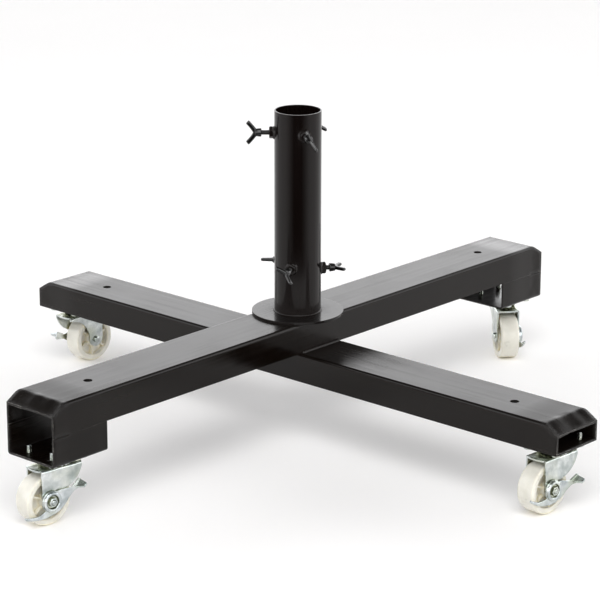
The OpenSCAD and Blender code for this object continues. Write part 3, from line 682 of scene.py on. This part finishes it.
def fuse(thing):
    remesh = thing.modifiers.new("fuse", "REMESH")
    remesh.mode = "VOXEL"
    remesh.voxel_size = VOXEL
    soften = thing.modifiers.new("soften", "SMOOTH")
    soften.factor, soften.iterations = 0.5, SMOOTHING_ROUNDS
    graph = bpy.context.evaluated_depsgraph_get()
    fused = bpy.data.meshes.new_from_object(thing.evaluated_get(graph))
    thing.modifiers.clear()
    thing.data = fused
    fused.shade_smooth()
    return thing


hub = skin_piece("hub", [circle_ring(r * MM, z * MM) for r, z in HUB], False, True)
casting = fuse(join("casting", [hub, ear("ear_left", 1), ear("ear_right", -1)]))
print("one casting has", len(casting.data.polygons), "faces")

# %% Six wing bolts in place
SHANK_LENGTH = 16.5

for name in CLAMP_BOLTS:
    gap, roll = CLAMP_BOLTS[name][2:]
    place = on_bolt(name, NUT_FACE_R + gap, roll)
    head = bpy.data.objects.new("head", casting.data.copy())
    bpy.context.scene.collection.objects.link(head)
    head.data.transform(place)
    shank = threaded_rod("shank", SHANK_LENGTH * MM, place @ moved(0, 0, 0.5) @ turned(180, "X"))
    bolt = join(name.replace("_", "_ring_wing_bolt_"), [head, shank])
    bolt.data.materials.clear()
    bolt.data.materials.append(black_casting)
    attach(bolt, name + "_bolt")
    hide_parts(name.replace("_", "_wing_bolt_"))
bpy.data.objects.remove(casting)
print("wing bolts:", len(CLAMP_BOLTS))

# %% [markdown]
# The nuts are welded to the tube by hand, so each stands in a collar of weld metal
# that rises and falls every two or three millimetres and follows the tube's curve.
# Sines of different lengths, shifted for each nut, make six unlike collars without
# any chance in them.

# %% Weld collar round a nut, against the curved tube
COLLAR_FOOT_R, COLLAR_TOP_R, COLLAR_RISE, COLLAR_HOLE_R = 10.9, 8.4, 3.2, 6


def tube_surface(y):
    return math.sqrt(TUBE_R ** 2 - min(y * y, TUBE_R ** 2 * 0.9))


def weld_collar(name, bolt, steps=96):
    direction, height = CLAMP_BOLTS[bolt][:2]
    shift = direction * 0.37
    angles = [2 * math.pi * i / steps for i in range(steps)]
    rings = []
    for k in range(7):
        t = k / 6
        ring = []
        for angle in angles:
            ripple = (0.16 * math.sin(14 * angle + shift) + 0.3 * math.sin(3 * angle + 2 * shift)
                      + 0.22 * math.sin(5 * angle + 4 * shift))
            foot = COLLAR_FOOT_R + ripple
            r = foot + (COLLAR_TOP_R - foot) * t
            y, z = r * math.cos(angle), r * math.sin(angle)
            rise = COLLAR_RISE * math.sin(t * math.pi / 2) + 0.8 * ripple * math.sin(t * math.pi)
            ring.append(((tube_surface(y) - 0.3 + rise) * MM, y * MM, z * MM))
        rings.append(ring)
    rings.append([((TUBE_R - 1.5) * MM, COLLAR_HOLE_R * MM * math.cos(angle),
                   COLLAR_HOLE_R * MM * math.sin(angle)) for angle in angles])
    place = moved(0, 0, height) @ turned(direction, "Z")
    return skin_piece(name, rings, False, False, place)


print("a collar rises", COLLAR_RISE, "mm above the tube")

# %% Welded nuts in two rings
for ring_name in ("top", "low"):
    parts = []
    for letter in "abc":
        bolt = f"{ring_name}_{letter}"
        parts.append(hexagon("nut", NUT_FLATS * MM, NUT_T * MM, 4.1 * MM,
                             on_bolt(bolt, NUT_FACE_R - NUT_T)))
        parts.append(weld_collar("collar", bolt))
    nuts = join(f"{ring_name}_ring_welded_nuts", parts)
    nuts.data.materials.clear()
    nuts.data.materials.append(enamel_z)
    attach(nuts, "frame")
    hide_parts(f"{ring_name}_weld_nuts")
print("welded nuts:", len(CLAMP_BOLTS))

# %% [markdown]
# A welder's bead is a row of overlapping pools, one every 2.5 mm or so. A curve with
# a round bevel would be a smooth roll. A quarter round section whose size swells
# with each pool shows the pools under the enamel.

# %% Bead round the tube's foot
BEAD_LEG = 2.0
POOL_SPACING = 2.6


def pools(distance):
    """Swelling of a bead, 0 to 1, with a steep front on each pool."""
    step = (distance / POOL_SPACING) % 1.0
    return (1 - step) ** 0.6 * min(1.0, step * 6)


def foot_bead(steps=640):
    rings = []
    for k in range(9):
        angle = math.radians(-4 + 98 * k / 8)
        ring = []
        for i in range(steps):
            bearing = 2 * math.pi * i / steps
            swell = 0.3 * pools(bearing * 41) + 0.2 * math.sin(3 * bearing + 1) - 0.1
            leg = BEAD_LEG + swell
            r = TUBE_R - 0.2 + leg * math.cos(angle)
            ring.append((r * math.cos(bearing) * MM, r * math.sin(bearing) * MM,
                         max(leg * math.sin(angle), -0.2) * MM))
        rings.append(ring)
    return skin_piece("tube_foot_bead", rings, False, False)


bead = foot_bead()
bead.data.materials.append(enamel_z)
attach(bead, "frame")
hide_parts("tube_foot_weld")
print("foot bead:", len(bead.data.polygons), "faces")

# %% [markdown]
# The channels are welded where they cross, and the spacers by one short flush weld
# on each side of their seam. Both are straight beads that taper at their ends. The
# spacers' welds were ground almost flush, so they are low half rounds.

# %% A straight bead
def straight_bead(name, length, leg, place, corner=1.0, steps=9):
    """A bead along local Y: in the corner of +X and +Z, or on a wall if corner is 0."""
    rows = int(length / 0.5)
    first = -90 * (1 - corner)
    rings = []
    for row in range(rows + 1):
        y = length * (row / rows - 0.5)
        taper = min(1.0, (length / 2 - abs(y)) / 3.0 + 0.25)
        size = leg * (0.9 + 0.12 * pools(y + 99)) * math.sqrt(taper)
        ring = [(-0.4 * MM, y * MM, -0.4 * MM * corner)]
        for k in range(steps):
            angle = math.radians(first + (90 - first) * k / (steps - 1))
            ring.append((size * math.cos(angle) * MM, y * MM, size * math.sin(angle) * MM))
        rings.append(ring)
    return skin_piece(name, rings, False, True, place)


print("pools of a bead:", POOL_SPACING, "mm apart")

# %% Beads at the crossing and on the spacers' seams
CHANNEL_HALF, SEAM_Z = 50.8, -54
CROSSING_LENGTH, CROSSING_LEG = 91, 4.5
SEAM_LENGTH, SEAM_LEG, SEAM_SETBACK = 33, 0.75, 55

beads = []
for side in (-1, 1):
    outwards = turned(0 if side > 0 else 180, "Z")
    beads.append(straight_bead("crossing", CROSSING_LENGTH, CROSSING_LEG,
                               moved(side * CHANNEL_HALF, 0, SEAM_Z) @ outwards))
    for end in (-1, 1):
        middle = end * (UPPER_HALF - SEAM_SETBACK - SEAM_LENGTH / 2)
        seat = moved(side * CHANNEL_HALF, middle, SEAM_Z) @ outwards
        beads.append(straight_bead("seam", SEAM_LENGTH, SEAM_LEG, seat, corner=0.0))
beads = join("frame_beads", beads)
beads.data.materials.append(enamel_y)
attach(beads, "frame")
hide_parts("frame_welds")
print("frame beads:", len(beads.data.polygons), "faces")

# %% [markdown]
# Four M8 bolts hold each caster. Their heads sit under the plate, and the threads
# stand up inside the channel, where they show as bright studs in its open end.

# %% Places of the casters
# name: place of the swivel axis, turn of the plate, heading of the fork
CASTERS = {"south": ((0, -543.5), 90, 82), "north": ((0, 551), 0, 142),
           "east": ((527, 0), 90, 86), "west": ((-527, 0), 90, 267)}
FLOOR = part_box("south_wheel")[0].z / MM
CASTER_H, PLATE_T, TRAIL, WHEEL_R = 106.0, 3.0, 25.0, 40.0


def on_caster(name, x, y, z):
    """Frame on the caster's swivel axis, not turned with the fork."""
    place, plate_turn, _ = CASTERS[name]
    return moved(place[0], place[1], FLOOR) @ turned(plate_turn, "Z") @ moved(x, y, z)


def on_axle(name, z):
    """Frame on the axle with +Z pointing to the plain leg."""
    place, _, heading = CASTERS[name]
    return moved(place[0], place[1], FLOOR) @ turned(heading, "Z") \
        @ moved(-TRAIL, 0, WHEEL_R) @ turned(-90, "X") @ moved(0, 0, z)


print("floor at", round(FLOOR, 2), "mm")

# %% Mounting bolts
M8_FLATS = 13.0
HEAD_T, BOLT_LENGTH = 5.3, 18
HOLE_X, HOLE_Y = 30.75, 25.75

for name in CASTERS:
    parts = []
    for x in (-HOLE_X, HOLE_X):
        for y in (-HOLE_Y, HOLE_Y):
            seat = on_caster(name, x, y, CASTER_H - PLATE_T)
            parts.append(hexagon("head", M8_FLATS * MM, HEAD_T * MM, None,
                                 seat @ turned(180, "X")))
            parts.append(threaded_rod("thread", BOLT_LENGTH * MM, seat))
    bolts = join(f"{name}_caster_mounting_bolts", parts)
    bolts.data.materials.append(zinc)
    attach(bolts, "frame")
    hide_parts(f"{name}_mount_bolts")
print("mounting bolts:", 4 * len(CASTERS))

# %% [markdown]
# The axle has a domed head on the plain leg. On the brake's side a nut holds it, a
# little outside the lever so that the lever can rock.

# %% Axles and their nuts
NUT_IN, AXLE_NUT_T, LEG_OUT, PLAIN_END = 23.5, 5.0, 20.2, -18
AXLE_STEPS = 32
# radius and height of the head's outline
DOME = [(5.6, 0), (5.6, 2.4), (5.3, 3.2), (4.6, 3.8), (3.4, 4.15), (1.8, 4.3), (0.3, 4.35)]


def axle_parts(name):
    head = skin_piece("head", [circle_ring(r * MM, z * MM, AXLE_STEPS) for r, z in DOME],
                      False, True, on_axle(name, LEG_OUT))
    keep_edges(head, 50)
    rod = [circle_ring(4.0 * MM, z * MM, AXLE_STEPS) for z in (LEG_OUT, PLAIN_END)]
    middle = skin_piece("rod", rod, False, True, on_axle(name, 0))
    end = threaded_rod("end", (NUT_IN + AXLE_NUT_T + 1 + PLAIN_END) * MM,
                       on_axle(name, PLAIN_END) @ turned(180, "X"))
    return [head, middle, end]


for name in CASTERS:
    axle = join(f"{name}_axle", axle_parts(name))
    nut = hexagon(f"{name}_axle_lock_nut", M8_FLATS * MM, AXLE_NUT_T * MM, 4.05 * MM,
                  on_axle(name, -NUT_IN - AXLE_NUT_T))
    for thing, node in ((axle, "axle_bolt"), (nut, "axle_nut")):
        thing.data.materials.clear()
        thing.data.materials.append(zinc)
        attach(thing, f"{name}_swivel")
        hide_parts(f"{name}_{node}")
print("axles:", len(CASTERS))

# %% [markdown]
# The camera looks down from a metre and a half above the floor and more than four
# metres away, with a long lens, so the far arms hardly shrink. Its place, its turn
# and its lens were solved from the corners of the channels, whose real sizes are
# known. A camera set by eye would never lie as true.

# %% Camera
AZIMUTH, ELEVATION, ROLL = (math.radians(a) for a in (42.01, 17.12, 0.12))
CAMERA_PLACE = (2.81565, -3.12026, 1.31026)
SENSOR_MM, FOCAL_PIXELS, PICTURE_PIXELS = 36.0, 2684.66, 600

toward = Vector((-math.sin(AZIMUTH) * math.cos(ELEVATION),
                 math.cos(AZIMUTH) * math.cos(ELEVATION), -math.sin(ELEVATION)))
level_right = Vector((math.cos(AZIMUTH), math.sin(AZIMUTH), 0.0))
level_up = level_right.cross(toward)
right = math.cos(ROLL) * level_right + math.sin(ROLL) * level_up
up = math.cos(ROLL) * level_up - math.sin(ROLL) * level_right
turn = Matrix((right, up, -toward)).transposed()
camera_data = bpy.data.cameras.new("long_lens")
camera_data.sensor_width = SENSOR_MM
camera_data.lens = FOCAL_PIXELS / PICTURE_PIXELS * SENSOR_MM
camera = bpy.data.objects.new("long_lens", camera_data)
camera.matrix_world = Matrix.Translation(CAMERA_PLACE) @ turn.to_4x4()
bpy.context.scene.collection.objects.link(camera)
bpy.context.scene.camera = camera
print("lens:", round(camera_data.lens, 1), "mm, distance:",
      round(Vector(CAMERA_PLACE).length, 2), "m")

# %% [markdown]
# The stand was photographed on white paper in front of a bright white backdrop,
# with a dim ceiling and a wide soft lamp high above the camera. That explains its
# looks: the flat tops mirror the backdrop as grey, the sloping lips mirror the
# ceiling and go black, and the pale shadows on the paper lie a hand's breadth
# behind the channels. The paper is one large flat face with a faint cloudiness.

# %% Floor
FLOOR_HALF, PAPER_CLOUD = 16.0, 700
floor_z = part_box("south_wheel")[0].z
floor_mesh = bpy.data.meshes.new("studio_floor")
floor_mesh.from_pydata([(x * FLOOR_HALF, y * FLOOR_HALF, floor_z) for x, y in
                        ((-1, -1), (1, -1), (1, 1), (-1, 1))], [], [(0, 1, 2, 3)])
floor = bpy.data.objects.new("studio_floor", floor_mesh)
bpy.context.scene.collection.objects.link(floor)
paper, paper_shader = new_finish("white_seamless_paper", Roughness=0.85)
paper_place = add(paper, "ShaderNodeTexCoord").outputs["Object"]
paper_cloud = add(paper, "ShaderNodeTexNoise", {"Scale": 1 / (PAPER_CLOUD * MM), "Detail": 3.0},
                  {"Vector": paper_place}).outputs["Fac"]
paper_tone = add(paper, "ShaderNodeMix", {"data_type": "RGBA", 6: linear("#f3f2f1"),
                                          7: linear("#f7f6f5")}, {0: paper_cloud}).outputs[2]
paper.node_tree.links.new(paper_tone, paper_shader.inputs["Base Color"])
floor_mesh.materials.append(paper)
print("floor at", round(floor_z, 4), "m")

# %% [markdown]
# On the camera's side a black flag lies on the paper, a part of a ring round the
# stand from about a metre away. The camera, diffuse light and shadows pass it by, so
# it is a painted dark reflection that only mirror images show, while the paper under
# it stays white. It gives the round tube its dark middle between two paler bands.

# %% Black flag in front of the stand, seen only in reflections
FLAG_MIDDLE, FLAG_HALF, FLAG_SOLID = math.radians(-48), math.radians(68), 0.2
FLAG_NEAR, FLAG_FAR, FLAG_STEPS = 0.95, 7.0, 32
flag_points = []
for step in range(FLAG_STEPS + 1):
    angle = FLAG_MIDDLE + FLAG_HALF * (2 * step / FLAG_STEPS - 1)
    for distance in (FLAG_NEAR, FLAG_FAR):
        flag_points.append((distance * math.cos(angle), distance * math.sin(angle),
                            floor_z + 2 * MM))
flag_mesh = bpy.data.meshes.new("reflection_only_black_flag")
flag_mesh.from_pydata(flag_points, [], [(2 * i, 2 * i + 1, 2 * i + 3, 2 * i + 2)
                                        for i in range(FLAG_STEPS)])
flag = bpy.data.objects.new("reflection_only_black_flag", flag_mesh)
bpy.context.scene.collection.objects.link(flag)
# The flag is hidden from the camera, diffuse light and shadows: it only paints dark reflections.
flag.visible_camera = flag.visible_diffuse = flag.visible_shadow = False
print("the flag starts", FLAG_NEAR, "m from the tube")

# %% [markdown]
# With hard ends the flag would draw hard stripes on the tube, so its painted dark
# reflection fades out towards both sides, by the bearing of each point as seen from
# the stand.

# %% Painted dark reflection that fades out sideways
# A painted dark reflection: a black sheet that only reflections see.
dark_reflection, dark_reflection_shader = new_finish("painted_dark_reflection", Roughness=1.0)
dark_reflection_shader.inputs["Base Color"].default_value = linear("#080808")
dark_reflection_place = add(dark_reflection, "ShaderNodeTexCoord").outputs["Object"]
dark_reflection_axes = add(dark_reflection, "ShaderNodeSeparateXYZ", None, {"Vector": dark_reflection_place})
bearing = add(dark_reflection, "ShaderNodeMath", {"operation": "ARCTAN2"},
              {0: dark_reflection_axes.outputs["Y"], 1: dark_reflection_axes.outputs["X"]}).outputs["Value"]
aside = add(dark_reflection, "ShaderNodeMath", {"operation": "SUBTRACT", 1: FLAG_MIDDLE},
            {0: bearing}).outputs["Value"]
aside = add(dark_reflection, "ShaderNodeMath", {"operation": "ABSOLUTE"}, {0: aside}).outputs["Value"]
cover = add(dark_reflection, "ShaderNodeMapRange",
            {"interpolation_type": "SMOOTHSTEP", "From Min": FLAG_SOLID, "From Max": FLAG_HALF,
             "To Min": 1.0, "To Max": 0.0}, {"Value": aside}).outputs["Result"]
dark_reflection.node_tree.links.new(cover, dark_reflection_shader.inputs["Alpha"])
flag_mesh.materials.append(dark_reflection)
print("the velvet is solid within", round(math.degrees(FLAG_SOLID), 1), "degrees of its middle")

# %% [markdown]
# A picture of a studio could light the scene, but two numbers do it here: the world
# is bright up to 28 degrees above the horizon, all the way round, and dim above 42
# degrees.

# %% Backdrop and ceiling
BACKDROP, CEILING = 2.3, 0.3
BRIGHT_TO, DIM_FROM = math.radians(28), math.radians(42)
world = bpy.data.worlds.new("white_studio")
bpy.context.scene.world = world
world.use_nodes = True
direction = add(world, "ShaderNodeTexCoord").outputs["Generated"]
height = add(world, "ShaderNodeSeparateXYZ", None, {"Vector": direction}).outputs["Z"]
strength = add(world, "ShaderNodeMapRange",
               {"interpolation_type": "SMOOTHSTEP", "From Min": math.sin(BRIGHT_TO),
                "From Max": math.sin(DIM_FROM), "To Min": BACKDROP, "To Max": CEILING},
               {"Value": height}).outputs["Result"]
sky = world.node_tree.nodes["Background"]
sky.inputs["Color"].default_value = linear("#f9f9fa")
world.node_tree.links.new(strength, sky.inputs["Strength"])
print("backdrop", BACKDROP, "and ceiling", CEILING, "watts per square metre and steradian")

# %% [markdown]
# A softbox of five metres hangs eight metres away on the camera's side, 55 degrees
# up, and casts the soft shadows. The picture is shown without a film curve, and a
# gamma a little under 1 deepens the dark tones as the printed photograph does.

# %% Softbox and tone
SOFTBOX_PLACE, SOFTBOX_SIZE, SOFTBOX_WATTS = (3.1, -3.4, 6.6), 5.0, 300.0
softbox_data = bpy.data.lights.new("overhead_softbox", "AREA")
softbox_data.shape = "SQUARE"
softbox_data.size = SOFTBOX_SIZE
softbox_data.energy = SOFTBOX_WATTS
softbox = bpy.data.objects.new("overhead_softbox", softbox_data)
softbox.location = SOFTBOX_PLACE
softbox.rotation_euler = (-Vector(SOFTBOX_PLACE)).to_track_quat("-Z", "Y").to_euler()
bpy.context.scene.collection.objects.link(softbox)
bpy.context.scene.view_settings.view_transform = "Standard"
bpy.context.scene.view_settings.gamma = 0.88
print("softbox:", SOFTBOX_WATTS, "W,", round(Vector(SOFTBOX_PLACE).length, 1), "m away")
